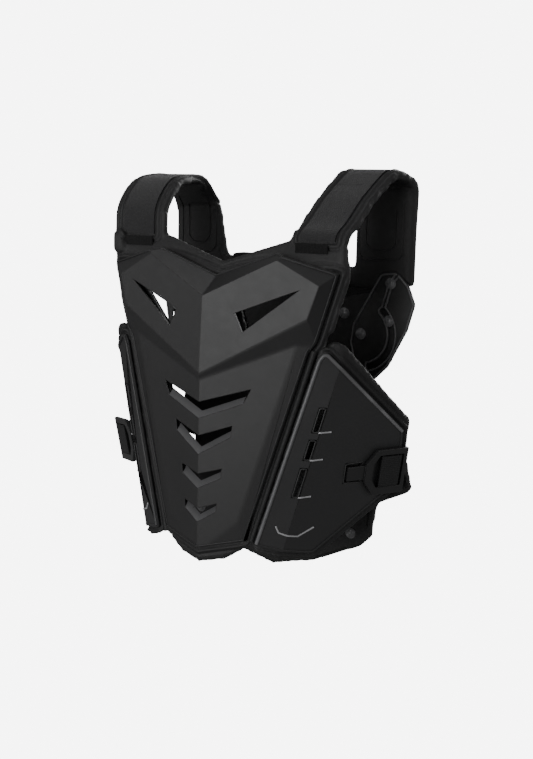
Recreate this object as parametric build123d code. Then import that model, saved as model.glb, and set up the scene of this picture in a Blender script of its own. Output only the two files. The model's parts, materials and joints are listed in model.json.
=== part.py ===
from build123d import *
import math
import os

os.makedirs("parts", exist_ok=True)

# A hard-shell chest and back protector, worn like a vest. Millimetres.
# +X is the wearer's left, -Y is the front, +Z is up. The origin is the centre of the torso space.

# ---- driving dimensions ----------------------------------------------------------------------
SHELL = 2.5              # moulded plastic wall
PLATE = 2.5              # wing and yoke plates
FOAM = 9.0               # foam pads
LINING = 1.5             # lining fabric
GAP = 0.3                # clearance between stacked layers
RIDGE_Y = -100.0         # front ridge of the lower plate
RIDGE_SLOPE = 0.265      # how fast the front falls back from the ridge, per mm of X
BLOCK_FRONT = -130.0     # in front of everything
BLOCK_BACK = 60.0        # plane that the moulding blocks run back to before they are hollowed

NECK_Z = 161.0           # bottom of the shell's V neck
PEAK = (81.0, 190.0)     # shell peaks beside the neck, X and Z
SHOULDER = (155.0, 169.0)
WAIST = (133.0, 91.0)    # end of the upper plate's side edge
HINGE_TOP = (124.0, 80.0)
HINGE_FOOT = (55.5, -149.0)
SHELL_FOOT_Z = -162.0

HINGE_A = (131.0, -62.0, 84.0)    # wing hinge line, top
HINGE_B = (62.0, -80.5, -152.0)   # wing hinge line, bottom
FOLD_R = 2.0                      # moulded fold along the hinge line

WING_CREASE = (140.9, -54.5, 0.0)      # a point of the crease between the wing's strip and side face
WING_RISE = (0.2665, 0.0842, 1.0)      # the crease's direction, per mm of Z
STRIP_ANGLE = 26.6                     # strip, measured from the frontal plane
SIDE_ANGLE = 62.0                      # side face, measured from the frontal plane
CLIP_Z = -68.0                         # height of the side clip's middle

PAD_BACK_Y = 81.0        # inner face of the back pad
BACK_LAYER_Y = PAD_BACK_Y + FOAM + GAP
YOKE_Y = PAD_BACK_Y - GAP - LINING - GAP - PLATE
YOKE_PIVOT = (119.9, 88.4)
YOKE_STRAP = (37.8, 63.8)      # strap rivet, from the pivot
YOKE_GUIDE = (37.2, 18.2)      # guide rivet, from the pivot
RIVET_R = 3.0
HOLE_PLAY = 0.06         # round a shank in a turning hole
SLOT_PLAY = 0.4          # beside a shank in the arc slot
RIVET_HEAD_R = 7.0
RIVET_HEAD_H = 3.2

CROWN_Y = 20.0           # where the front and rear halves of a strap meet
TAPE = 1.3               # hook-and-loop tape
TAPE_W = 46.0

# strap of each side: X of its edges at the front, the crown and the rear, the yoke's turn,
# the top of its neck-side edge behind the crown as (X, Z), and its outer arch as
# (Y, Z, climb in degrees) from the front foot back to the rear leg
STRAPS = {
    "left": {
        "inner": (82, 95, 106), "outer": (153, 170, 188), "swing": 0.0, "neck": (90, 290),
        "front": [(-46, 203, 90), (-33, 221, 54), (-3, 249, 43), (CROWN_Y, 267, 36)],
        "rear": [(CROWN_Y, 267, 36), (58, 286, 12), (82, 277, -52), (91, 240, -90)],
    },
    "right": {
        "inner": (87, 96, 80), "outer": (167, 166, 163), "swing": 18.0, "neck": (99, 258),
        "front": [(-46, 203, 90), (-43, 238, 72), (-18, 266, 33), (CROWN_Y, 276, 6)],
        "rear": [(CROWN_Y, 276, 6), (56, 274, -14), (82, 252, -60), (91, 215, -90)],
    },
}
CLIP_SWING = {"left": 0.0, "right": 28.0}     # how far each clip stands out from its wing
SIDES = {"left": 1, "right": -1}


# ---- helpers ---------------------------------------------------------------------------------
def export(name, shape, sign=1):
    """Writes one node, mirrored to the wearer's right where sign is -1."""
    placed = shape if sign > 0 else mirror(shape, about=Plane.YZ)
    solids = placed.solids()
    export_step(solids[0] if len(solids) == 1 else Compound(children=solids), f"parts/{name}.step")


def whole(half):
    """Closes a right-half outline that starts and ends on X = 0."""
    return half + [(-x, z) for x, z in reversed(half) if x > 0]


def frontal(points, y_front, y_back, radius=0.0):
    """A prism along Y over an outline in X and Z, with its corners rounded."""
    outline = Polyline(*[(x, y_front, z) for x, z in points], close=True)
    prism = extrude(make_face(outline), amount=y_back - y_front, dir=(0, 1, 0))
    if radius:
        prism = fillet(prism.edges().filter_by(Axis.Y), radius)
    return prism


def facet(points, direction):
    """A flat polygon in space, given its thickness by a direction."""
    face = make_face(Polyline(*points, close=True))
    step = Vector(*direction)
    return extrude(face, amount=step.length, dir=step)


def cut_front(solid, a, b, c):
    """Removes what stands in front of the plane through three points."""
    p, q, r = Vector(*a), Vector(*b), Vector(*c)
    normal = (q - p).cross(r - p).normalized()
    if normal.Y < 0:
        normal = normal * -1
    return split(solid, bisect_by=Plane(origin=p, z_dir=normal), keep=Keep.TOP)


def both_halves(half):
    """A half that ends on X = 0, fused with its mirror image."""
    return half + mirror(half, about=Plane.YZ)


def ridge_y(x):
    return RIDGE_Y + RIDGE_SLOPE * x


def skin(block, front, wall):
    """The layer of a block that starts front mm behind its front face and is wall mm thick."""
    return Pos(0, front, 0) * block - Pos(0, front + wall, 0) * block


def cylinder_y(x, z, y_front, y_back, radius):
    return Pos(x, (y_front + y_back) / 2, z) * Rot(90, 0, 0) * Cylinder(radius, y_back - y_front)


def rivet(x, z, y_front, y_back):
    """A rivet along Y with a domed head that stands in front of y_front."""
    shank = cylinder_y(x, z, y_front, y_back, RIVET_R)
    head = cylinder_y(x, z, y_front - RIVET_HEAD_H, y_front, RIVET_HEAD_R)
    edge = head.edges().filter_by(GeomType.CIRCLE).sort_by(Axis.Y)[0]
    return fillet(edge, RIVET_HEAD_H * 0.7) + shank


# ---- front -----------------------------------------------------------------------------------
CHEVRONS = [  # half outlines: centre top, outer top, outer bottom, centre bottom
    [(0, 14.0), (60.5, 32.5), (52.0, 15.5), (0, -5.0)],
    [(0, -26.0), (39.5, -12.0), (37.5, -25.0), (0, -48.0)],
    [(0, -72.0), (28.0, -64.0), (26.5, -75.0), (0, -89.0)],
    [(0, -114.0), (22.7, -106.5), (21.5, -116.0), (0, -130.0)],
]
CHEST_VENT = [(41.0, 120.0), (114.5, 149.0), (51.0, 99.0)]
SILL_BACK = 7.0
SILL_RISE = 8.0


def chest_block():
    """The raised upper plate as a block: a V of two facets with bevelled edges and an underside."""
    block = frontal([(0, NECK_Z), PEAK, SHOULDER, WAIST, HINGE_TOP, (0, 35)], BLOCK_FRONT, BLOCK_BACK)
    neck = (0, -66, NECK_Z)
    ridge_top = (0, -97, 138.5)
    peak_in = (87.7, -78, 182.5)
    shoulder = (SHOULDER[0], -56.5, SHOULDER[1])
    shoulder_in = (137, -70.4, 156)
    side_in = (126.7, -74.5, 117)
    waist = (WAIST[0], -63, WAIST[1])
    block = cut_front(block, (0, -102, 47), ridge_top, side_in)
    block = cut_front(block, neck, ridge_top, peak_in)
    block = cut_front(block, peak_in, shoulder_in, shoulder)
    block = cut_front(block, shoulder, waist, side_in)
    return both_halves(cut_front(block, (0, -102, 47), side_in, waist))


def belly_block():
    """The lower plate as a block: a V of two facets with dark side and bottom bevels."""
    edge = [(0, 60), (110, 113), (130, 92), HINGE_TOP, HINGE_FOOT, (0, SHELL_FOOT_Z)]
    block = frontal(edge, BLOCK_FRONT, BLOCK_BACK)
    crease_top = (108, ridge_y(108), 74)
    crease_foot = (48, ridge_y(48), -127)
    block = cut_front(block, (0, RIDGE_Y, 0), (0, RIDGE_Y, 50), crease_top)
    block = cut_front(block, crease_top, crease_foot, (HINGE_TOP[0], -64.8, HINGE_TOP[1]))
    block = cut_front(block, crease_foot, (8, ridge_y(8), -161), (HINGE_FOOT[0], -83, HINGE_FOOT[1]))
    return both_halves(block)


def sill(chevron, sign):
    """The inward-sloping lip under one half of a chevron vent."""
    _, _, (x_out, z_out), (_, z_mid) = chevron
    low_mid = (0, RIDGE_Y + 0.4, z_mid)
    low_out = (sign * x_out, ridge_y(x_out) + 0.4, z_out)
    high_out = (sign * x_out, low_out[1] + SILL_BACK, z_out + SILL_RISE)
    high_mid = (0, low_mid[1] + SILL_BACK, z_mid + SILL_RISE)
    return facet([low_mid, low_out, high_out, high_mid], (0, 0, -2.0))


def front_shell():
    block = chest_block() + belly_block()
    shell = skin(block, 0, SHELL)
    for chevron in CHEVRONS:
        shell -= frontal(whole(chevron), BLOCK_FRONT, 0)
    for sign in (1, -1):
        shell -= frontal([(sign * x, z) for x, z in CHEST_VENT], BLOCK_FRONT, 0)
        for chevron in CHEVRONS:
            shell += sill(chevron, sign)
    return shell


FOAM_EDGE = [(0, 175.5), (84, 203), (158, 203), (165, 167), (148, 104), (145, 100), (137, 97), (129, 92),
             (126.5, 84), (57.5, -156), (30, -174), (0, -180)]
FOAM_LOWER = [(0, -96.3, 0), (0, -96.3, 50), (100, -66.8, 0)]      # three points of each front plane
FOAM_CHEST = [(0, -92.0, 60), (0, -59.5, 160), (100, -91.2, 60)]
VENT_MARGIN = 4.0        # how far the foam is cut back round each vent
CHEST_WINDOW = [(34, 126), (124, 158), (54, 88)]


def foam_block(edge):
    """The foam's outer block: a V behind the lower plate that leans back behind the chest plate."""
    block = frontal(edge, BLOCK_FRONT, BLOCK_BACK)
    block = cut_front(block, *FOAM_LOWER)
    return both_halves(cut_front(block, *FOAM_CHEST))


def chest_windows(solid):
    """Cuts the openings that let air in behind the vents."""
    m = VENT_MARGIN
    for (_, top), (x_top, z_top), (x_low, z_low), (_, low) in CHEVRONS:
        window = [(0, top + m), (x_top + m, z_top + m), (x_low + m, z_low - m), (0, low - m)]
        solid -= frontal(whole(window), BLOCK_FRONT, 20)
    for sign in (1, -1):
        solid -= frontal([(sign * x, z) for x, z in CHEST_WINDOW], BLOCK_FRONT, 20)
    return solid


def front_foam_pad():
    return chest_windows(skin(foam_block(FOAM_EDGE), 0, FOAM))


def front_lining():
    edge = [(x * 0.97, z * 0.985) for x, z in FOAM_EDGE]
    return chest_windows(skin(foam_block(edge), FOAM + GAP, LINING))


# ---- wings -----------------------------------------------------------------------------------
STRIP_DIR = Vector(math.cos(math.radians(STRIP_ANGLE)), math.sin(math.radians(STRIP_ANGLE)), 0)
SIDE_DIR = Vector(math.cos(math.radians(SIDE_ANGLE)), math.sin(math.radians(SIDE_ANGLE)), 0)
INWARD = Vector(-math.sin(math.radians(44)), math.cos(math.radians(44)), 0)
SIDE_OUT = SIDE_DIR.cross(Vector(*WING_RISE)).normalized()


def wing_point(along, z, out=0.0):
    """A point of the wing: along is 0 on the crease, negative over the strip, positive over the side."""
    base = Vector(*WING_CREASE) + Vector(*WING_RISE) * z
    step = STRIP_DIR * along if along < 0 else SIDE_DIR * along
    return base + step - INWARD * out


def wing_layer(strip, side, start, wall):
    """One layer of the wing, start mm inside its outer face."""
    parts = []
    for points in (strip, side):
        placed = [tuple(wing_point(a, z, -start)) for a, z in points]
        parts.append(facet(placed, INWARD * wall))
    return parts[0] + parts[1]


WING_STRIP = [(0, 65.4), (-18, 79), (-24, 79), (-28, 72), (-35, -150), (-32, -153), (0, -158.6)]
WING_SIDE = [(0, 65.4), (123, -20), (130, -45), (134, -92), (121, -104), (47, -165), (40, -166), (0, -158.6)]
WING_FOAM_STRIP = [(0, 87), (-12, 92), (-20, 88), (-26, 78), (-32, -154), (-29, -160), (0, -168)]
WING_FOAM_SIDE = [(0, 87), (131, -8), (137, -40), (141, -97), (126, -114), (50, -175), (42, -176), (0, -168)]
WING_SLOTS = [(16, -14), (-22, -47), (-56, -92)]
CLIP_WINDOW = [(54, 13), (79, 13), (79, -13), (54, -13)]


def wing_plate():
    plate = wing_layer(WING_STRIP, WING_SIDE, 0, PLATE)
    for high, low in WING_SLOTS:
        corners = [(-9.5, high), (-0.5, high), (-0.5, low), (-9.5, low)]
        plate -= facet([tuple(wing_point(a, z, 6)) for a, z in corners], INWARD * 14)
    return plate - clip_plane().location * clip_slab(CLIP_WINDOW, -12, 8)


def wing_foam():
    foam = wing_layer(WING_FOAM_STRIP, WING_FOAM_SIDE, PLATE + GAP, FOAM - 1)
    high, low = WING_SLOTS[0][0] + 4, WING_SLOTS[-1][1] - 4
    corners = [(-14, high), (-0.5, high), (-0.5, low), (-14, low)]
    foam -= facet([tuple(wing_point(a, z, 6)) for a, z in corners], INWARD * 30)
    return foam - clip_plane().location * clip_slab([(50, 17), (83, 17), (83, -17), (50, -17)], -6, 8)


def fold_strip():
    """The moulded fold that joins the front pad to the wing pad, along the hinge line."""
    a, b = Vector(*HINGE_A), Vector(*HINGE_B)
    axis = b - a
    disc = Plane(origin=a, z_dir=axis) * Circle(FOLD_R)
    return extrude(disc, amount=axis.length, dir=axis)


# ---- shoulder straps -------------------------------------------------------------------------
def arch_curve(points, grow):
    """A curve through the arch's points, moved outwards by grow."""
    places = []
    for y, z, climb in points:
        a = math.radians(climb)
        places.append((0, y - grow * math.sin(a), z + grow * math.cos(a)))
    ends = [(0, math.cos(math.radians(p[2])), math.sin(math.radians(p[2]))) for p in (points[0], points[-1])]
    return Spline(*places, tangents=ends)


def arch_face(strap, grow):
    """The strap's arched section in Y and Z, moved outwards by grow; grow = -FOAM is its inner side."""
    front = arch_curve(strap["front"], grow)
    rear = arch_curve(strap["rear"], grow)
    down = Line(rear @ 1, (0, strap["rear"][-1][0] + grow, 150))
    return front, rear, down


def arch_band(strap, inner, outer):
    """A band between two offsets of the arch, wider than any strap."""
    x0, x1 = 60, 220
    low = arch_face(strap, inner)
    high = arch_face(strap, outer)
    ends = [Line(low[0] @ 0, high[0] @ 0), Line(low[2] @ 1, high[2] @ 1)]
    face = make_face(Wire([*low, *high, *ends]))
    return extrude(face, amount=x1 - x0, dir=(1, 0, 0)).moved(Location((x0, 0, 0)))


def plan(inner, outer):
    """The strap's outline seen from above, as a prism along Z."""
    ys = (-75, CROWN_Y, 100)
    points = [(x, y, 0) for x, y in zip(inner, ys)] + [(x, y, 0) for x, y in reversed(list(zip(outer, ys)))]
    return extrude(make_face(Polyline(*points, close=True)), amount=400, dir=(0, 0, 1))


def half(solid, rear):
    """The part of a strap layer in front of the crown, or behind it."""
    low, high = (CROWN_Y + GAP / 2, 200) if rear else (-200, CROWN_Y - GAP / 2)
    return solid & Pos(150, (low + high) / 2, 200) * Box(400, high - low, 500)


def strap_pads(strap):
    """The front and rear pads; the rear one narrows towards the neck as it falls."""
    band = arch_band(strap, -FOAM, 0) & plan(strap["inner"], strap["outer"])
    top_x, top_z = strap["neck"]
    trim = [(40, 140), (77, 140), (81, 170), (top_x, top_z), (top_x, 300), (40, 300)]
    return half(band, False), half(band, True) - frontal(trim, CROWN_Y + 2, 110)


def strap_tape(strap):
    """The loop tape over the strap, a strip of constant width along its middle."""
    middle = [(a + b) / 2 for a, b in zip(strap["inner"], strap["outer"])]
    inner = [m - TAPE_W / 2 for m in middle]
    outer = [m + TAPE_W / 2 for m in middle]
    band = arch_band(strap, GAP, GAP + TAPE) & plan(inner, outer)
    behind = Pos(150, 90, 150) * Box(300, 60, 200)
    below = Pos(150, -80, 150) * Box(300, 100, 108)
    return half(band, False) - below, half(band, True) - behind


def hook_patch(strap):
    """The hook patch sewn to the front pad, just under the tape's hemmed end."""
    middle = (strap["inner"][0] + strap["outer"][0]) / 2
    return Pos(middle - 1, -50.6, 196) * Box(TAPE_W - 4, 1.2, 12)


# ---- back ------------------------------------------------------------------------------------
BACK_EDGE = [(0, 180), (58, 183), (72, 180), (79, 146), (150, 146), (160, 128), (167, 104), (167, 76), (159, 56),
             (144, 44), (126, 38), (130, 10), (148, -12), (152, -40), (178, -54), (184, -60), (193, -98),
             (188, -105), (150, -124), (147, -130), (141, -168), (125, -184), (60, -214), (0, -228)]
BACK_SHELL_EDGE = [(0, 168), (52, 172), (66, 140), (100, 120), (112, 60), (102, 0), (112, -60), (124, -150),
                   (108, -176), (50, -200), (0, -212)]
BACK_LINING_EDGE = [(x, z) for x, z in BACK_EDGE if x < 153 or z > 120]
BACK_SLOPE = 0.16
BACK_RIDGE_Y = BACK_LAYER_Y + 24
BACK_VENTS = [
    [(18, 56), (58, 52), (46, 30), (18, 40)],
    [(126, -70), (142, -66), (142, -92), (126, -90)],
]
BACK_RIVETS = [(114.0, -167.0), (95.0, 112.0)]
GUIDE = (YOKE_PIVOT[0] + YOKE_GUIDE[0], YOKE_PIVOT[1] + YOKE_GUIDE[1])


def back_holes(solid, radius):
    """Cuts the vents and the rivet holes, on both sides."""
    for sign in (1, -1):
        for vent in BACK_VENTS:
            solid -= frontal([(sign * x, z) for x, z in vent], 0, 120)
        for x, z in [*BACK_RIVETS, YOKE_PIVOT, GUIDE]:
            solid -= cylinder_y(sign * x, z, 0, 120, radius)
    return solid


def back_foam_pad():
    return back_holes(frontal(whole(BACK_EDGE), PAD_BACK_Y, PAD_BACK_Y + FOAM), RIVET_R + 0.1)


def back_lining():
    edge = [(min(x * 0.97, 140), z * 0.985) for x, z in BACK_LINING_EDGE]
    y = PAD_BACK_Y - GAP - LINING
    return back_holes(frontal(whole(edge), y, y + LINING), RIVET_R + 0.1)


def back_shell():
    """A shallow V shell with its ridge to the rear, behind the back pad."""
    half_block = frontal(BACK_SHELL_EDGE, 60, 140)
    rear = Plane(origin=(0, BACK_RIDGE_Y, 0), z_dir=(-BACK_SLOPE, -1, 0))
    block = both_halves(split(half_block, bisect_by=rear, keep=Keep.TOP))
    return back_holes(block - Pos(0, -SHELL, 0) * block, RIVET_R + 0.1)


def back_shell_rivets():
    y = PAD_BACK_Y - GAP - LINING - 0.1
    return Compound(children=[rivet(sign * x, z, y, 98) for sign in (1, -1) for x, z in BACK_RIVETS])


# ---- yoke plates -----------------------------------------------------------------------------
YOKE_EDGE = [(-15, -12), (-12, 12), (24, 76), (46, 78), (62, 62), (71, 40), (62, 8), (38, -38), (20, -56),
             (8, -58), (-8, -40)]
YOKE_SLOT_ANGLES = (-72.0, 46.0)


def arc_slot(radius, half_width, angles):
    """An arc-shaped slot about the origin, cut along Y."""
    ring = cylinder_y(0, 0, 0, 100, radius + half_width) - cylinder_y(0, 0, 0, 100, radius - half_width)
    far = radius * 3
    start, end = [math.radians(a) for a in angles]
    middle = (start + end) / 2
    spread = [(far * math.cos(a), far * math.sin(a)) for a in (start, middle, end)]
    slot = ring & frontal([(0, 0), *spread], 0, 100)
    for a in (start, end):
        slot += cylinder_y(radius * math.cos(a), radius * math.sin(a), 0, 100, half_width)
    return slot


def yoke_plate(swing):
    """The yoke about its pivot at the origin, swung inwards, then placed."""
    plate = frontal(YOKE_EDGE, YOKE_Y, YOKE_Y + PLATE, radius=11)
    plate -= arc_slot(math.hypot(*YOKE_GUIDE), RIVET_R + SLOT_PLAY, YOKE_SLOT_ANGLES)
    plate -= cylinder_y(0, 0, 0, 100, RIVET_R + HOLE_PLAY)
    plate -= cylinder_y(*YOKE_STRAP, 0, 100, RIVET_R + HOLE_PLAY)
    return Pos(YOKE_PIVOT[0], 0, YOKE_PIVOT[1]) * Rot(0, -swing, 0) * plate


def yoke_rivets(swing):
    """Pivot and guide rivets, fixed in the back, and the strap rivet, which moves with the yoke."""
    x, z = YOKE_PIVOT
    turn = math.radians(swing)
    u, w = YOKE_STRAP
    strap_x = x + u * math.cos(turn) - w * math.sin(turn)
    strap_z = z + u * math.sin(turn) + w * math.cos(turn)
    y = YOKE_Y - 0.2
    return (rivet(x, z, y, 98), rivet(*GUIDE, y, PAD_BACK_Y + FOAM),
            rivet(strap_x, strap_z, y, YOKE_Y + PLATE + 0.4))


# ---- side clips ------------------------------------------------------------------------------
WEB_HALF = 19.5
CLIP_RING = [(82, -12), (82, 12), (96, 28), (141, 28), (141, -30), (96, -30)]
CLIP_HOLE = [(92, -9), (92, 9), (100, 20.5), (135.5, 20.5), (135.5, -20.5), (100, -20.5)]
CLIP_PIVOT = (58, 0, -1)      # the hook's bend in the wing's window
WEB_OVER = [(103, 6.9), (131, 6.9), (135.5, 2.3), (142, 2.3)]       # the webbing's outer side on the ring
WEB_UNDER = [(141.3, 0.7), (134.7, 0.7), (130.2, 5.3), (103, 5.3)]  # and its inner side
WEB_END = [(148.6, -5.2), (147.5, -6.4)]                            # its end under the anchor
WEB_TURN = 1.2                # how much further back it turns when the clip stands out


def clip_plane():
    """Local x runs back along the wing from its crease, local y is up and local z stands out of it."""
    return Plane(origin=wing_point(0, CLIP_Z), x_dir=SIDE_DIR, z_dir=SIDE_OUT)


def clip_turn(swing):
    """The turn of a clip about its hook, in the clip's own axes."""
    x, y, z = CLIP_PIVOT
    return Pos(x, y, z) * Rot(0, -swing, 0) * Pos(-x, -y, -z)


def clip_slab(points, low, high):
    """A prism over a local outline, from low to high above the wing's outer face."""
    face = make_face(Polyline(*[(x, y, low) for x, y in points], close=True))
    return extrude(face, amount=high - low, dir=(0, 0, 1))


def side_clip(swing):
    ring = clip_slab(CLIP_RING, 1.0, 6.0) - clip_slab(CLIP_HOLE, 0, 8)
    ring -= clip_slab([(133, -21), (133, 21), (142, 21), (142, -21)], 0, 2.9)
    bar = clip_slab([(104, -21.5), (104, 21.5), (109, 21.5), (109, -21.5)], 1.6, 4.9)
    tongue = clip_slab([(57, -9), (57, 9), (84, 9), (84, -9)], 1.0, 3.4)
    hook = clip_slab([(57, -8.5), (57, 8.5), (60, 8.5), (60, -8.5)], -1.8, 1.2)
    return clip_plane().location * clip_turn(swing) * (ring + bar + tongue + hook)


def elastic_webbing(swing):
    turn = WEB_TURN if swing else 0
    over = [*WEB_OVER[:-1], (WEB_OVER[-1][0] + turn, WEB_OVER[-1][1])]
    carried = [(clip_turn(swing) * Pos(x, 0, z)).position for x, z in [*over, *WEB_UNDER]]
    outline = [(p.X, -WEB_HALF, p.Z) for p in carried]
    outline[len(over):len(over)] = [(x, -WEB_HALF, z) for x, z in WEB_END]
    face = make_face(Polyline(*outline, close=True))
    return clip_plane().location * extrude(face, amount=2 * WEB_HALF, dir=(0, 1, 0))


def webbing_anchor():
    """The stitched-down plate that holds the webbing's end on the back pad's side ear."""
    y = PAD_BACK_Y - GAP - 2.2
    return frontal([(170, -52), (182, -56), (189, -94), (172, -94)], y, y + 2.2, radius=3)


# ---- output ----------------------------------------------------------------------------------
export("front_shell", front_shell())
export("front_foam_pad", front_foam_pad())
export("front_lining", front_lining())
export("back_shell", back_shell())
export("back_foam_pad", back_foam_pad())
export("back_lining", back_lining())
export("back_shell_rivets", back_shell_rivets())

for side, sign in SIDES.items():
    strap = STRAPS[side]
    pad_front, pad_rear = strap_pads(strap)
    tape_front, tape_rear = strap_tape(strap)
    pivot, guide, strap_rivet = yoke_rivets(strap["swing"])
    export(f"{side}_wing_plate", wing_plate(), sign)
    export(f"{side}_wing_foam", wing_foam(), sign)
    export(f"{side}_fold_strip", fold_strip(), sign)
    export(f"{side}_strap_pad_front", pad_front, sign)
    export(f"{side}_strap_pad_rear", pad_rear, sign)
    export(f"{side}_loop_tape_front", tape_front, sign)
    export(f"{side}_loop_tape_rear", tape_rear, sign)
    export(f"{side}_hook_patch", hook_patch(strap), sign)
    export(f"{side}_yoke_plate", yoke_plate(strap["swing"]), sign)
    export(f"{side}_yoke_pivot_rivet", pivot, sign)
    export(f"{side}_yoke_guide_rivet", guide, sign)
    export(f"{side}_strap_rivet", strap_rivet, sign)
    export(f"{side}_side_clip", side_clip(CLIP_SWING[side]), sign)
    export(f"{side}_elastic_webbing", elastic_webbing(CLIP_SWING[side]), sign)
    export(f"{side}_webbing_anchor", webbing_anchor(), sign)
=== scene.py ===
import math

import bmesh
import bpy
from mathutils import Matrix, Vector
from mathutils.bvhtree import BVHTree
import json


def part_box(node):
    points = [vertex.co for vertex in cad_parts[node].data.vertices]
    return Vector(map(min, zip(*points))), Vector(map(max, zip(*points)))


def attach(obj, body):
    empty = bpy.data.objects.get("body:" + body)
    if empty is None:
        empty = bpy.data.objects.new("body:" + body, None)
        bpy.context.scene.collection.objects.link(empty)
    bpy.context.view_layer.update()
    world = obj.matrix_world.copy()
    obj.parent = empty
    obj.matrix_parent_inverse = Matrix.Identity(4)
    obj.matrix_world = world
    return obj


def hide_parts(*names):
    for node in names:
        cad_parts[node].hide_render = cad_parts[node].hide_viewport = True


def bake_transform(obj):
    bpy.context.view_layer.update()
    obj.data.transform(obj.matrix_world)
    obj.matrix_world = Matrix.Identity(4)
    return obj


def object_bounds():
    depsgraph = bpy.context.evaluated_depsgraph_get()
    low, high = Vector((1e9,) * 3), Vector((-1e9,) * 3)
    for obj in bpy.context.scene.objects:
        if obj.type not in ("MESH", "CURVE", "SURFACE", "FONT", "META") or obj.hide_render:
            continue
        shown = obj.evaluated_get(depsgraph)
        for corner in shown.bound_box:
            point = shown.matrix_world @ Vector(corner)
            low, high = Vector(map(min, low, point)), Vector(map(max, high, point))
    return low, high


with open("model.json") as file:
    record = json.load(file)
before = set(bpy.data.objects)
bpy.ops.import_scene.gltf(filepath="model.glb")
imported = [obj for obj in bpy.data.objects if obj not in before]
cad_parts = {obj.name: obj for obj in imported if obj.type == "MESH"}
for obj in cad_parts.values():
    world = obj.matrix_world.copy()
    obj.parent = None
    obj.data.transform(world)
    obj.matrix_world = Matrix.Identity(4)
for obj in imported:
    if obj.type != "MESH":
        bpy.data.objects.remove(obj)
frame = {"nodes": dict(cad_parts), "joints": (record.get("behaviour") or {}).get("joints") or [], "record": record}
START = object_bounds()
CAD = frame["nodes"]
BODY = {n: b for b, ns in frame["record"]["behaviour"]["bodies"].items() for n in ns}
SIDES = {"left": 1, "right": -1}
MM = 0.001
FRONT, REAR = Vector((0, -1, 0)), Vector((0, 1, 0))
BORDER_ANGLE, CREASE_ANGLE = 24, 4              # degrees between faces: an edge above these is a border, or a crease
CREASED_AREA = 0.0003                           # smaller facets keep sharp creases, square metres
BEAD_REACH = 0.013                              # how far from a plate the foam's moulded border goes
SIMULATION = range(1, 21)                       # frames
FREE_BEYOND, HOLD_FADES = 0.009, 0.004          # foam this far from a plate is free, and the hold fades over this
TAPE_LENGTH = {"left": (94, 98), "right": (113, 74)}                    # in front and behind
SLOTS = (1, 2, 3)                               # a wing plate's holes by length: the clip window is 0
# the chevron mark at a wing's foot, drawn as a pale line that is a painted highlight on its groove's lower edge, in
# shares of the plate's box
MARK = [(0.192, 0.159), (0.216, 0.128), (0.340, 0.104), (0.431, 0.141)]
FLOOR_DROP = 0.20                               # how far below the object the floor lies
WHITE = 7.0                                     # strength of the background that the camera sees


# ---- materials -------------------------------------------------------------------------------
class Nodes:
    """A short way to build a node tree."""

    def __init__(self, name):
        self.material = bpy.data.materials.new(name)
        self.material.use_nodes = True
        self.tree = self.material.node_tree
        self.shader = self.tree.nodes["Principled BSDF"]
        self.place = self.add("ShaderNodeTexCoord").outputs["Object"]

    def add(self, kind, inputs=None, **settings):
        node = self.tree.nodes.new(kind)
        for key, value in settings.items():
            setattr(node, key, value)
        for key, value in (inputs or {}).items():
            if isinstance(value, bpy.types.NodeSocket):
                self.tree.links.new(value, node.inputs[key])
            else:
                node.inputs[key].default_value = value
        return node

    def noise(self, scale, detail=3.0, rough=0.5):
        return self.add("ShaderNodeTexNoise", {"Vector": self.place, "Scale": scale, "Detail": detail,
                                               "Roughness": rough}).outputs["Fac"]

    def cells(self, scale, feature="F1"):
        return self.add("ShaderNodeTexVoronoi", {"Vector": self.place, "Scale": scale},
                        feature=feature).outputs["Distance"]

    def bands(self, scale, direction, distort=0.0):
        return self.add("ShaderNodeTexWave", {"Vector": self.place, "Scale": scale, "Distortion": distort,
                                              "Detail": 1.0}, bands_direction=direction).outputs["Fac"]

    def math(self, how, a, b):
        return self.add("ShaderNodeMath", {0: a, 1: b}, operation=how).outputs[0]

    def levels(self, value, low, high, start=0.0, end=1.0):
        return self.add("ShaderNodeMapRange", {"Value": value, "From Min": start, "From Max": end,
                                               "To Min": low, "To Max": high}).outputs["Result"]

    def ramp(self, value, stops):
        node = self.add("ShaderNodeValToRGB", {"Fac": value})
        node.color_ramp.elements[0].position, node.color_ramp.elements[1].position = stops[0][0], stops[-1][0]
        node.color_ramp.elements[0].color = (*[stops[0][1]] * 2, stops[0][1] * 1.03, 1)
        node.color_ramp.elements[1].color = (*[stops[-1][1]] * 2, stops[-1][1] * 1.03, 1)
        for place, shade in stops[1:-1]:
            node.color_ramp.elements.new(place).color = (shade, shade, shade * 1.03, 1)
        return node.outputs["Color"]

    def surface(self, color, roughness, height, depth, specular=0.5):
        bump = self.add("ShaderNodeBump", {"Height": height, "Strength": 1.0, "Distance": depth})
        self.tree.links.new(color, self.shader.inputs["Base Color"])
        self.tree.links.new(roughness, self.shader.inputs["Roughness"])
        self.tree.links.new(bump.outputs["Normal"], self.shader.inputs["Normal"])
        self.shader.inputs["Specular IOR Level"].default_value = specular
        return self.material


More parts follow.
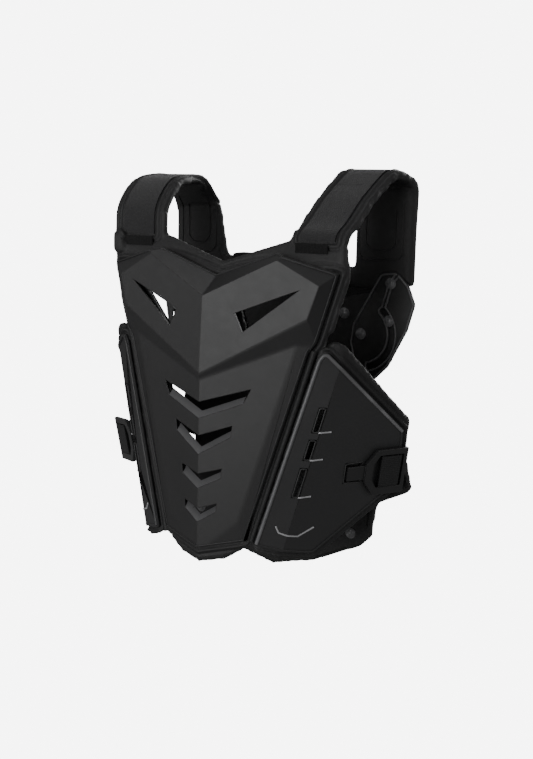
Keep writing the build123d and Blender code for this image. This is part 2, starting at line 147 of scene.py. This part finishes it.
def moulded(name, dark, light, rough, grain=0.00003, specular=0.5):
    """Injection-moulded plastic: a fine eggshell grain, broad variation and paler edges, partly wear and partly a
    painted highlight.
    """
    n = Nodes(name)
    broad = n.noise(9.0, 4.0)
    fine = n.noise(1400.0, 2.0)
    scuffs = n.noise(70.0, 6.0, 0.75)
    # convex edges painted paler by pointiness: partly edge wear, partly a painted highlight on the bevels
    edge_wear_and_highlight = n.levels(n.add("ShaderNodeNewGeometry").outputs["Pointiness"], 0.0, 0.5, 0.53, 0.62)
    mix = n.math("ADD", n.levels(broad, 0.15, 0.75), n.math("MULTIPLY", edge_wear_and_highlight, n.levels(scuffs, 0.3, 1.3)))
    color = n.ramp(mix, [(0.1, dark), (0.8, light), (1.0, light * 1.7)])
    roughness = n.math("ADD", n.levels(scuffs, rough - 0.07, rough + 0.09), n.levels(broad, -0.04, 0.04))
    height = n.math("ADD", fine, n.math("MULTIPLY", n.noise(260.0), 1.2))
    return n.surface(color, roughness, height, grain, specular)


def facing(name, dark, light):
    """Foam faced with a fine knitted fabric."""
    n = Nodes(name)
    knit = n.math("MULTIPLY", n.bands(420.0, "Z", 1.5), n.bands(420.0, "X", 1.5))
    broad = n.noise(14.0, 4.0)
    mix = n.math("ADD", n.levels(broad, 0.0, 0.7), n.math("MULTIPLY", n.noise(900.0), 0.35))
    color = n.ramp(mix, [(0.1, dark), (0.95, light)])
    height = n.math("ADD", knit, n.math("MULTIPLY", n.noise(1100.0, 3.0), 1.4))
    return n.surface(color, n.levels(broad, 0.44, 0.60), height, 0.00010, 0.5)


def pile(name, dark, light, scale, depth):
    """The fuzzy side of hook-and-loop tape."""
    n = Nodes(name)
    tuft = n.math("ADD", n.noise(scale, 5.0, 0.7), n.math("MULTIPLY", n.cells(scale * 0.8), 0.6))
    color = n.ramp(n.math("ADD", n.math("MULTIPLY", tuft, 0.8), n.levels(n.noise(30.0), -0.1, 0.25)),
                   [(0.25, dark), (0.6, light * 0.8), (0.95, light)])
    material = n.surface(color, n.levels(tuft, 0.98, 0.8), tuft, depth, 0.2)
    n.shader.inputs["Sheen Weight"].default_value = 0.25
    return material


def ribbed(name, dark, light):
    """Elastic webbing: ribs along it and fine picks across."""
    n = Nodes(name)
    ribs = n.bands(130.0, "Z", 0.2)
    picks = n.math("MULTIPLY", n.bands(360.0, "DIAGONAL", 0.4), 0.45)
    height = n.math("ADD", ribs, picks)
    color = n.ramp(n.math("ADD", n.math("MULTIPLY", height, 0.55), n.levels(n.noise(40.0), 0.0, 0.3)),
                   [(0.1, dark), (0.95, light)])
    return n.surface(color, n.levels(n.noise(60.0), 0.6, 0.8), height, 0.0003, 0.35)


def mesh_cloth(name, dark, light):
    """Open knitted mesh lining."""
    n = Nodes(name)
    holes = n.cells(330.0, "DISTANCE_TO_EDGE")
    mix = n.math("ADD", n.levels(holes, 0.9, 0.1, 0.0, 0.4), n.levels(n.noise(20.0), -0.1, 0.15))
    color = n.ramp(mix, [(0.2, dark), (0.9, light)])
    return n.surface(color, n.levels(n.noise(80.0), 0.7, 0.9), n.levels(holes, 1.0, 0.0, 0.0, 0.3), 0.0004, 0.3)


def polished(name, dark, light):
    """Polished dark metal-look rivets with fine turning marks and smudges."""
    n = Nodes(name)
    smudge = n.noise(180.0, 5.0)
    color = n.ramp(smudge, [(0.3, dark), (0.8, light)])
    return n.surface(color, n.levels(smudge, 0.14, 0.34), n.noise(2200.0), 0.00001, 0.7)


M = {
    "hard_shell": moulded("moulded_shell", 0.014, 0.026, 0.44),
    "wing": moulded("moulded_wing", 0.020, 0.034, 0.42),
    # rim: a paler plastic colour for raised rims and upward faces, a painted highlight
    "rim": moulded("painted_highlight_rim", 0.085, 0.15, 0.30),
    # edge: a much paler colour for small lit ledges, side faces and the chevron line, a painted highlight
    "edge": moulded("painted_highlight_edge", 0.32, 0.48, 0.28),
    "clip_plastic": moulded("moulded_clip", 0.012, 0.020, 0.34),
    "foam_pad": facing("foam_facing", 0.009, 0.016),
    "strap_pad": facing("strap_facing", 0.012, 0.020),
    "lining": mesh_cloth("mesh_lining", 0.008, 0.02),
    "loop_tape": pile("loop_pile", 0.010, 0.036, 800.0, 0.0009),
    "hook_tape": pile("hook_pile", 0.003, 0.008, 500.0, 0.0005),
    "webbing": ribbed("elastic_weave", 0.014, 0.03),
    "rivets": polished("polished_rivet", 0.10, 0.20),
}


# ---- meshes ----------------------------------------------------------------------------------
def cleaned(*nodes):
    """The CAD meshes of some nodes in one bmesh, welded and with flat faces merged."""
    bm = bmesh.new()
    for node in nodes:
        bm.from_mesh(CAD[node].data)
    bmesh.ops.remove_doubles(bm, verts=bm.verts, dist=0.00002)
    bmesh.ops.dissolve_limit(bm, angle_limit=math.radians(1), verts=bm.verts, edges=bm.edges)
    return bm


def made(name, bm, material):
    mesh = bpy.data.meshes.new(name)
    bm.to_mesh(mesh)
    bm.free()
    for polygon in mesh.polygons:
        polygon.use_smooth = True
    mesh.materials.append(M[material])
    obj = bpy.data.objects.new(name, mesh)
    bpy.context.scene.collection.objects.link(obj)
    return obj


def baked(obj):
    """Applies an object's modifiers."""
    mesh = bpy.data.meshes.new_from_object(obj.evaluated_get(bpy.context.evaluated_depsgraph_get()))
    obj.modifiers.clear()
    obj.data = mesh
    return obj


def settle(obj, node, *others):
    """obj stands for a CAD node, whose CAD part and any others named are hidden."""
    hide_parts(node, *others)
    return obj


def hard(node, material, border=0.8, crease=0.0, crisp=None):
    """A part from its CAD faces, with rounded borders and softer creases, in mm; crisp picks creases to keep tight."""
    bm = cleaned(node)
    weight = bm.edges.layers.float.new("bevel_weight_edge")
    widest = max(border, crease)
    for e in bm.edges:
        if len(e.link_faces) != 2:
            continue
        angle = math.degrees(e.calc_face_angle(0))
        if angle > BORDER_ANGLE:
            e[weight] = border / widest
        elif angle > CREASE_ANGLE and crease and min(f.calc_area() for f in e.link_faces) > CREASED_AREA:
            e[weight] = (border if crisp and crisp(e) else crease) / widest
    obj = made(node + "_body", bm, material)
    bevel = obj.modifiers.new("rounding", "BEVEL")
    bevel.limit_method = "WEIGHT"
    bevel.width = widest * MM
    bevel.segments = 3
    bevel.use_clamp_overlap = False
    obj.modifiers.new("normals", "WEIGHTED_NORMAL")
    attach(obj, BODY[node])
    return settle(obj, node)


def tree(nodes):
    bm = cleaned(*nodes)
    bmesh.ops.triangulate(bm, faces=bm.faces)
    found = BVHTree.FromBMesh(bm)
    bm.free()
    return found


def puffed(obj, held, limit):
    """A short cloth simulation with air pressure inside; vertices under the plates stay put."""
    rest = [v.co.copy() for v in obj.data.vertices]
    pin = obj.vertex_groups.new(name="held")
    for v in obj.data.vertices:
        near = held.find_nearest(v.co)[3] if held else 1.0
        share = (FREE_BEYOND - near) / HOLD_FADES
        pin.add([v.index], max(0.0, min(1.0, share)), "REPLACE")
    fabric = obj.modifiers.new("cloth", "CLOTH")
    fabric.settings.quality = 5
    fabric.settings.mass = 0.3
    fabric.settings.tension_stiffness = 30
    fabric.settings.compression_stiffness = 30
    fabric.settings.bending_stiffness = 3
    fabric.settings.use_pressure = True
    fabric.settings.uniform_pressure_force = 4
    fabric.settings.vertex_group_mass = "held"
    fabric.settings.effector_weights.gravity = 0
    fabric.point_cache.frame_start = SIMULATION[0]
    fabric.point_cache.frame_end = SIMULATION[-1]
    for number in SIMULATION:
        bpy.context.scene.frame_set(number)
    baked(obj)
    bpy.context.scene.frame_set(SIMULATION[0])
    for v, was in zip(obj.data.vertices, rest):
        move = v.co - was
        if move.length > limit:
            v.co = was + move.normalized() * limit
    return obj


def profile(near):
    """Height of the moulded border beside a plate, by distance from it."""
    groove = -1.5 * math.exp(-((near - 0.0012) / 0.0018) ** 2)
    bead = 1.5 * math.exp(-((near - 0.0050) / 0.0018) ** 2)
    second = -1.4 * math.exp(-((near - 0.0088) / 0.0013) ** 2)
    return (groove + bead + second) * MM


def block(bm, low, high):
    """A plain box added to a bmesh before it is remeshed."""
    middle = (Vector(low) + Vector(high)) / 2
    size = Vector(high) - Vector(low)
    bmesh.ops.create_cube(bm, size=1.0, matrix=Matrix.Translation(middle) @ Matrix.Diagonal((*size, 1)))


def padding(name, nodes, material, plates, voxel=3.0, smoothing=6, grow=0.6, relief=(), extra=(), limit=0.0015):
    """A foam pad: remeshed, rounded, puffed by simulation and given its moulded border."""
    bm = bmesh.new()
    for node in nodes:
        bm.from_mesh(CAD[node].data)
    bmesh.ops.remove_doubles(bm, verts=bm.verts, dist=0.00002)
    for low, high in extra:
        block(bm, low, high)
    obj = made(name, bm, material)
    remesh = obj.modifiers.new("remesh", "REMESH")
    remesh.mode = "VOXEL"
    remesh.voxel_size = voxel * MM
    if grow:
        swell = obj.modifiers.new("swell", "DISPLACE")
        swell.strength = grow * MM
        swell.mid_level = 0.0
    smooth = obj.modifiers.new("round", "SMOOTH")
    smooth.factor = 0.5
    smooth.iterations = smoothing
    baked(obj)
    held = tree(plates) if plates else None
    puffed(obj, held, limit)
    finer = obj.modifiers.new("finer", "SUBSURF")
    finer.levels = finer.render_levels = 1
    baked(obj)
    if relief:
        edge = tree(relief)
        normals = [v.normal.copy() for v in obj.data.vertices]
        for v, normal in zip(obj.data.vertices, normals):
            near = edge.find_nearest(v.co)[3]
            if near < BEAD_REACH:
                v.co += normal * profile(near)
    for polygon in obj.data.polygons:
        polygon.use_smooth = True
    return obj


def parted(obj, name, point, normal):
    """Cuts obj at a plane; what is beyond it becomes a new piece."""
    other = obj.copy()
    other.data = obj.data.copy()
    other.name = name
    bpy.context.scene.collection.objects.link(other)
    for piece, keep_beyond in ((obj, False), (other, True)):
        bm = bmesh.new()
        bm.from_mesh(piece.data)
        bmesh.ops.bisect_plane(bm, geom=[*bm.verts, *bm.edges, *bm.faces], plane_co=point, plane_no=normal,
                               clear_outer=not keep_beyond, clear_inner=keep_beyond)
        bm.to_mesh(piece.data)
        bm.free()
    return other


def path_length(path):
    return sum((a - b).length for a, b in zip(path, path[1:]))


def outlines(node, toward, inset, lift):
    """The outlines of a plate's outer faces, longest first, as points inset from the edge and lifted off it."""
    bm = cleaned(node)
    outer = {f for f in bm.faces if f.normal.dot(toward) > 0.35 and f.calc_area() > 0.00002}
    links = {}
    shift = {}
    for e in bm.edges:
        mine = [f for f in e.link_faces if f in outer]
        if len(mine) != 1:
            continue
        face = mine[0]
        loop = next(k for k in e.link_loops if k.face == face)
        along = (loop.link_loop_next.vert.co - loop.vert.co).normalized()
        inward = face.normal.cross(along)
        for v in e.verts:
            links.setdefault(v.index, []).append(e.other_vert(v).index)
            shift.setdefault(v.index, []).append((inward, face.normal.copy()))
    found = []
    seen = set()
    for start in sorted(links):
        if start in seen:
            continue
        chain, here = [start], start
        seen.add(start)
        while True:
            ahead = [k for k in links[here] if k not in seen]
            if not ahead:
                break
            here = ahead[0]
            seen.add(here)
            chain.append(here)
        found.append(chain)
    bm.verts.ensure_lookup_table()
    paths = []
    for chain in found:
        path = []
        for k in chain:
            inward = sum((a for a, _ in shift[k]), Vector())
            inward = inward / max(0.35, inward.length_squared / 2)
            normal = sum((b for _, b in shift[k]), Vector()).normalized()
            path.append(bm.verts[k].co + inward * inset + normal * lift)
        paths.append(path)
    bm.free()
    return sorted((p for p in paths if len(p) > 2), key=path_length, reverse=True)


def rounded(points, radius=0.004, closed=False):
    """The path with its corners rounded."""
    out = []
    count = len(points)
    for k, p in enumerate(points):
        if not closed and k in (0, count - 1):
            out.append(p)
            continue
        before, after = points[k - 1] - p, points[(k + 1) % count] - p
        r = min(radius, before.length * 0.45, after.length * 0.45)
        a, b = p + before.normalized() * r, p + after.normalized() * r
        for t in (0.0, 0.25, 0.5, 0.75, 1.0):
            out.append(a * (1 - t) ** 2 + p * (2 * t * (1 - t)) + b * t ** 2)
    return out


def tube(name, points, radius, material, body=None, closed=False):
    """A round bead through some points, attached to body when one is given."""
    curve = bpy.data.curves.new(name, "CURVE")
    curve.dimensions = "3D"
    curve.bevel_depth = radius
    curve.bevel_resolution = 3
    curve.use_fill_caps = True
    spline = curve.splines.new("POLY")
    spline.points.add(len(points) - 1)
    for place, point in zip(spline.points, points):
        place.co = (*point, 1)
    spline.use_cyclic_u = closed
    maker = bpy.data.objects.new(name + "_path", curve)
    bpy.context.scene.collection.objects.link(maker)
    mesh = bpy.data.meshes.new_from_object(maker.evaluated_get(bpy.context.evaluated_depsgraph_get()))
    bpy.data.objects.remove(maker)
    mesh.name = name
    mesh.materials.clear()
    mesh.materials.append(M[material])
    for polygon in mesh.polygons:
        polygon.use_smooth = True
    obj = bpy.data.objects.new(name, mesh)
    bpy.context.scene.collection.objects.link(obj)
    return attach(obj, body) if body else obj


def bead(name, points, radius, material, node, closed=False):
    """A bead moulded on a CAD part, with its body."""
    obj = tube(name, points, radius, material, BODY[node], closed)
    return obj


def dome_rivet(node):
    """A washer with a polished domed head on each visible side of a rivet."""
    bm = cleaned(node)
    groups = []
    left = dict.fromkeys(bm.verts)              # keeps their order, so that each run gives the same mesh
    while left:
        stack, group = [left.popitem()[0]], []
        while stack:
            v = stack.pop()
            group.append(v.co.copy())
            for e in v.link_edges:
                other = e.other_vert(v)
                if other in left:
                    del left[other]
                    stack.append(other)
        groups.append(group)
    bm.free()
    heads = []
    for group in groups:
        xs, ys, zs = ([c[k] for c in group] for k in range(3))
        middle = ((min(xs) + max(xs)) / 2, (min(zs) + max(zs)) / 2)
        radius = (max(xs) - min(xs)) / 2
        heads.append((middle, min(ys), max(ys), radius))
    out = bmesh.new()
    for (x, z), y0, y1, radius in heads:
        for face, way in ((y0, 1.0), (y1, -1.0)):
            rim = [(0.0, 0.0), (radius * 0.30, 0.05 * MM), (radius * 0.52, 0.45 * MM), (radius * 0.66, 1.3 * MM),
                   (radius * 0.70, 2.1 * MM), (radius * 0.74, 2.3 * MM), (radius * 0.96, 2.4 * MM),
                   (radius, 2.7 * MM), (radius, 3.2 * MM), (radius * 0.4, 3.3 * MM), (radius * 0.4, (y1 - y0) / 2)]
            verts = [out.verts.new((x + r, face + way * d, z)) for r, d in rim]
            edges = [out.edges.new((a, b)) for a, b in zip(verts, verts[1:])]
            bmesh.ops.spin(out, geom=verts + edges, cent=(x, 0, z), axis=(0, 1, 0), angle=math.tau, steps=40,
                           use_merge=True)
    bmesh.ops.remove_doubles(out, verts=out.verts, dist=0.000005)
    bmesh.ops.recalc_face_normals(out, faces=out.faces)
    obj = made(node + "_domes", out, "rivets")
    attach(obj, BODY[node])
    return settle(obj, node)


def on_surface(found, x, z, lift):
    """The first point of a surface at X and Z, met from the front."""
    hit, normal, _, _ = found.ray_cast(Vector((x, -0.5, z)), REAR)
    return hit + normal * lift if hit else None


def cloth(piece):
    """Returns the piece as it is."""
    return piece


# ---- plastic ---------------------------------------------------------------------------------
def on_ridge(e):
    return all(abs(v.co.x) < 0.001 for v in e.verts)


chest = hard("front_shell", "hard_shell", 0.7, 2.5, on_ridge)
chest.data.materials.append(M["rim"])
chest.data.materials.append(M["edge"])
# faces turned up near the bottom middle take the pale rim colour and faces turned to +x on the upper chest take the
# paler edge colour: painted highlights where light falls
for face in chest.data.polygons:
    x, z = face.center.x, face.center.z
    if face.normal.z > 0.35 and abs(x) < 0.055 and z < 0.05:
        face.material_index = 1
    elif face.normal.x > 0.6 and 0.085 < z < 0.135 and 0.03 < abs(x) < 0.07:
        face.material_index = 2
hard("back_shell", "hard_shell", 0.8, 3.0)
for side, sign in SIDES.items():
    hard(f"{side}_wing_plate", "wing", 0.8, 2.5)
    hard(f"{side}_yoke_plate", "hard_shell", 0.7)
    hard(f"{side}_side_clip", "clip_plastic", 0.7)
    hard(f"{side}_webbing_anchor", "clip_plastic", 0.5)
    cloth(hard(f"{side}_elastic_webbing", "webbing", 0.3))
    for rivet in ("yoke_pivot_rivet", "yoke_guide_rivet", "strap_rivet"):
        dome_rivet(f"{side}_{rivet}")
dome_rivet("back_shell_rivets")
cloth(hard("front_lining", "lining", 0.4))
cloth(hard("back_lining", "lining", 0.4))


def wing_marks(side, sign):
    """Raised rim, slot lips, window frame and chevron mark of a wing plate; the left plate's rim, the ledges under the
    slots and the chevron line are pale painted highlights.
    """
    node = f"{side}_wing_plate"
    low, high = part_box(node)
    out = Vector((0.6 * sign, -0.8, 0))
    paths = outlines(node, out, 2.2 * MM, 0.2 * MM)
    edge = rounded(outlines(node, out, 2.8 * MM, 0.2 * MM)[0], 0.006, True)
    bead(f"{side}_wing_edge", edge, 1.0 * MM, "wing", node, closed=True)
    top = max(range(len(paths[0])), key=lambda k: paths[0][k].z)
    ordered = paths[0][top:] + paths[0][:top]
    if (ordered[1].x - ordered[-1].x) * sign < 0:
        ordered = [ordered[0]] + ordered[:0:-1]
    ahead = ordered[:1 + max(range(len(ordered)), key=lambda k: ordered[k].x * sign)]
    behind = ordered[ordered.index(min(ordered, key=lambda p: p.z * 0.2 + p.x * sign)):] + ordered[:1]
    # the left plate's rim bead takes the pale rim colour as a painted highlight; the right plate's keeps the plain
    # wing colour
    bead(f"{side}_wing_rim", rounded(behind[:-1] + ahead, 0.008), 2.1 * MM, "rim" if sign > 0 else "wing", node)
    plate = tree([node])
    for number, path in enumerate(outlines(node, out, -1.0 * MM, -0.1 * MM)[1:]):
        if len(path) > 3:
            bead(f"{side}_slot_lip_{number}", rounded(path, 0.002, True), 0.9 * MM, "wing", node, closed=True)
            # under each slot a pale line in the edge colour: a painted highlight on the slot's lower sill
            low_pair = sorted(sorted(path, key=lambda p: p.z)[:2], key=lambda p: p.x * sign)
            reach = [low_pair[0] + (low_pair[1] - low_pair[0]).normalized() * k * 1.5 * MM for k in range(12)]
            shine = [on_surface(plate, p.x, p.z - 0.4 * MM, 0.3 * MM) for p in reach]
            shine = [p for p in shine if p]
            if len(shine) > 3 and number in SLOTS:
                bead(f"{side}_slot_ledge_{number}", shine, 1.0 * MM, "edge", node)
    wide, tall = high.x - low.x, high.z - low.z
    points = []
    for (a0, u0), (a1, u1) in zip(MARK, MARK[1:]):
        for k in range(9):
            along, up = a0 + (a1 - a0) * k / 8, u0 + (u1 - u0) * k / 8
            x = low.x + wide * along if sign > 0 else high.x - wide * along
            points.append(on_surface(plate, x, low.z + tall * up, 0.3 * MM))
    points = [p for p in points if p]
    # the chevron line takes the paler edge colour: a painted highlight
    if len(points) > 3:
        bead(f"{side}_wing_mark", points, 1.0 * MM, "edge", node)


def yoke_marks(side):
    """Raised rim round the yoke plate and lips along its arc slot, on the side that faces the wearer; the outer rim
    takes the pale rim colour, a painted highlight.
    """
    node = f"{side}_yoke_plate"
    border = outlines(node, FRONT, 2.0 * MM, 0.1 * MM)[0]
    # the outer rim is painted pale as a painted highlight
    bead(f"{side}_yoke_rim_0", rounded(border, 0.002, True), 1.1 * MM, "rim", node, closed=True)
    for number, path in enumerate(outlines(node, FRONT, -1.2 * MM, 0.1 * MM)[1:], start=1):
        bead(f"{side}_yoke_rim_{number}", rounded(path, 0.002, True), 0.8 * MM, "hard_shell", node, closed=True)


for side in SIDES:
    yoke_marks(side)
for side, sign in SIDES.items():
    wing_marks(side, sign)

shell_edge = outlines("front_shell", FRONT, 1.8 * MM, 0.0)[0]
bead("front_shell_rim", rounded(shell_edge, 0.003, True), 1.0 * MM, "hard_shell", "front_shell", closed=True)
back_edge = outlines("back_shell", REAR, 4.0 * MM, 0.2 * MM)[0]
bead("back_shell_rim", rounded(back_edge, 0.006, True), 1.6 * MM, "hard_shell", "back_shell", closed=True)


# ---- foam ------------------------------------------------------------------------------------
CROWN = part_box("left_strap_pad_front")[1].y     # where the straps' front and rear halves meet
STRAPS = [f"{side}_strap_pad_{end}" for side in SIDES for end in ("front", "rear")]
TAPES = [f"{side}_loop_tape_{end}" for side in SIDES for end in ("front", "rear")]


def joint(name):
    """Where a joint is, and its axis."""
    found = next(j for j in frame["joints"] if j["name"] == name)
    return Vector(found["pos_m"]), Vector(found["axis"]).normalized()


def bridges():
    """Blocks of foam that close the gaps smoothing would open between the pads."""
    found = []
    for side, sign in SIDES.items():            # the feet of the straps
        low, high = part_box(f"{side}_strap_pad_rear")
        inner, outer = sorted((sign * 0.108, sign * 0.146))
        found.append(((inner, high.y - 0.008, low.z - 0.012), (outer, high.y - 0.001, low.z + 0.006)))
    found.append(((0.084, 0.083, 0.140), (0.112, 0.090, 0.168)))        # to the back pad
    found.append(((-0.090, 0.083, 0.140), (-0.066, 0.090, 0.176)))
    found.append(((-0.1625, -0.055, 0.182), (-0.148, -0.0465, 0.206)))  # beside the right hook patch
    top = joint("left_wing_flex")[0]
    for sign in SIDES.values():                 # over the wings' hinges
        inner, outer = sorted((sign * (top.x - 0.006), sign * (top.x + 0.010)))
        found.append(((inner, top.y + 0.006, top.z - 0.030), (outer, top.y + 0.012, top.z + 0.016)))
    return found


def bend_with_yoke(piece):
    """Bakes the transform of a piece on a strap's rear leg, the leg that runs from the back, up high, to the yoke at
    its foot.
    """
    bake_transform(piece)


harness = padding("front_pad", ["front_foam_pad", *STRAPS], "strap_pad", ["front_shell", *TAPES],
                  relief=["front_shell", *TAPES], extra=bridges(), grow=1.2, smoothing=9)
REAR_LEG = {"left": parted(harness, "left_strap_rear", (0, CROWN, 0), (0, 1, 0))}
REAR_LEG["right"] = parted(REAR_LEG["left"], "right_strap_rear", (0, 0, 0), (-1, 0, 0))
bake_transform(harness)
settle(harness, "front_foam_pad", "left_strap_pad_front", "right_strap_pad_front")
for side, piece in REAR_LEG.items():
    bend_with_yoke(piece)
    settle(piece, f"{side}_strap_pad_rear")

back = padding("back_pad", ["back_foam_pad"], "foam_pad", ["back_shell"], relief=["back_shell"])
settle(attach(back, "back"), "back_foam_pad")
for side, sign in SIDES.items():
    wing = padding(f"{side}_wing_pad", [f"{side}_wing_foam"], "foam_pad", [f"{side}_wing_plate"],
                   relief=[f"{side}_wing_plate"], grow=1.4, smoothing=4)
    settle(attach(wing, f"{side}_wing"), f"{side}_wing_foam")
    for end, length in zip(("front", "rear"), TAPE_LENGTH[side]):
        cloth(hard(f"{side}_loop_tape_{end}", "loop_tape", 0.4))
    cloth(hard(f"{side}_hook_patch", "hook_tape", 0.4))


def stitched(side, sign):
    """The two nested lines embossed on the inner face of a strap's rear leg."""
    low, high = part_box(f"{side}_strap_pad_rear")
    bm = bmesh.new()
    bm.from_mesh(REAR_LEG[side].data)
    found = BVHTree.FromBMesh(bm)
    bm.free()
    inner, outer = sorted((abs(low.x), abs(high.x)))
    for number, (inset, foot) in enumerate(((0.016, 0.030), (0.026, 0.042))):
        left, right = inner + inset, outer - inset
        path = [(left, low.z + 0.105 - number * 0.01), (left, low.z + foot + 0.008), (left + 0.007, low.z + foot),
                (right - 0.007, low.z + foot), (right, low.z + foot + 0.008), (right, low.z + 0.105 - number * 0.01)]
        dense = []
        for a, b in zip(path, path[1:]):
            steps = max(2, int(math.dist(a, b) / 0.004))
            dense += [(a[0] + (b[0] - a[0]) * k / steps, a[1] + (b[1] - a[1]) * k / steps) for k in range(steps)]
        points = [on_surface(found, sign * x, z, 0.1 * MM) for x, z in dense]
        points = [p for p in points if p and p.y > 0.03]
        line = tube(f"{side}_strap_line_{number}", points, 0.8 * MM, "strap_pad")
        bend_with_yoke(line)


for side, sign in SIDES.items():
    stitched(side, sign)


def fold(side, sign):
    """The flexible strip along a wing's hinge line."""
    low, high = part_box(f"{side}_fold_strip")
    start, axis = joint(f"{side}_wing_flex")
    behind = Vector((-0.25 * sign, 0.97, 0)) * 4.5 * MM
    steps = [(high.z - start.z) / axis.z - 0.004, (low.z - start.z) / axis.z + 0.004]
    count = 24
    points = [start + axis * (steps[0] + (steps[1] - steps[0]) * k / count) + behind for k in range(count + 1)]
    obj = tube(f"{side}_fold", points, 4.2 * MM, "foam_pad")
    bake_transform(obj)
    settle(obj, f"{side}_fold_strip")


for side, sign in SIDES.items():
    fold(side, sign)


# ---- studio ----------------------------------------------------------------------------------
def area(name, place, size, power, target=(0.05, 0, 0.03)):
    lamp = bpy.data.lights.new(name, "AREA")
    lamp.shape = "DISK"
    lamp.size = size
    lamp.energy = power
    obj = bpy.data.objects.new(name, lamp)
    obj.location = place
    obj.rotation_euler = (Vector(place) - Vector(target)).to_track_quat("Z", "Y").to_euler()
    bpy.context.scene.collection.objects.link(obj)


def seen_white(tree_nodes, links, lit, shown, out):
    """A pale surface that the camera sees as white and that lights the object only softly."""
    ray = tree_nodes.new("ShaderNodeLightPath")
    mix = tree_nodes.new("ShaderNodeMixShader")
    links.new(ray.outputs["Is Camera Ray"], mix.inputs[0])
    links.new(lit, mix.inputs[1])
    links.new(shown, mix.inputs[2])
    links.new(mix.outputs[0], out)


def studio():
    world = bpy.data.worlds.new("studio")
    bpy.context.scene.world = world
    world.use_nodes = True
    nodes, links = world.node_tree.nodes, world.node_tree.links
    soft = nodes["Background"]
    soft.inputs["Color"].default_value = (1, 1, 1, 1)
    soft.inputs["Strength"].default_value = 0.20
    white = nodes.new("ShaderNodeBackground")
    white.inputs["Color"].default_value = (1, 1, 1, 1)
    white.inputs["Strength"].default_value = WHITE
    seen_white(nodes, links, soft.outputs[0], white.outputs[0], nodes["World Output"].inputs["Surface"])

    floor_z = START[0][2] - FLOOR_DROP
    bm = bmesh.new()
    bmesh.ops.create_circle(bm, cap_ends=True, segments=96, radius=9.0, matrix=Matrix.Translation((0, 0, floor_z)))
    mesh = bpy.data.meshes.new("floor")
    bm.to_mesh(mesh)
    bm.free()
    floor = bpy.data.objects.new("floor", mesh)
    bpy.context.scene.collection.objects.link(floor)
    paint = bpy.data.materials.new("pale_floor")
    paint.use_nodes = True
    nodes, links = paint.node_tree.nodes, paint.node_tree.links
    nodes["Principled BSDF"].inputs["Base Color"].default_value = (0.35, 0.35, 0.35, 1)
    nodes["Principled BSDF"].inputs["Roughness"].default_value = 0.9
    glow = nodes.new("ShaderNodeEmission")
    glow.inputs["Strength"].default_value = WHITE
    seen_white(nodes, links, nodes["Principled BSDF"].outputs[0], glow.outputs[0],
               nodes["Material Output"].inputs["Surface"])
    mesh.materials.append(paint)

    area("key", (-0.30, -2.5, 0.40), 1.7, 27)
    area("fill", (-2.1, -1.5, 0.25), 1.0, 3.5)
    area("side", (2.3, 0.2, 0.7), 0.9, 5)
    area("top", (-0.2, -0.4, 2.0), 0.9, 5)
    area("rear", (0.3, 2.2, 1.0), 1.8, 30)


def camera():
    """The photograph's viewing angle."""
    yaw, pitch, roll = math.radians(30.74), math.radians(8.68), math.radians(1.35)
    target = Vector((0.0911, -0.100, 0.0494))
    away = Vector((math.sin(yaw) * math.cos(pitch), -math.cos(yaw) * math.cos(pitch), math.sin(pitch)))
    right = Vector((math.cos(yaw), math.sin(yaw), 0))
    up = away.cross(right)
    x_axis = right * math.cos(roll) + up * math.sin(roll)
    y_axis = up * math.cos(roll) - right * math.sin(roll)
    lens = bpy.data.cameras.new("camera")
    lens.lens = 57.06
    lens.sensor_width = 36.0
    obj = bpy.data.objects.new("camera", lens)
    bpy.context.scene.collection.objects.link(obj)
    turn = Matrix((x_axis, y_axis, away)).transposed().to_4x4()
    obj.matrix_world = Matrix.Translation(target + away * 1.3535) @ turn
    bpy.context.scene.camera = obj


studio()
camera()
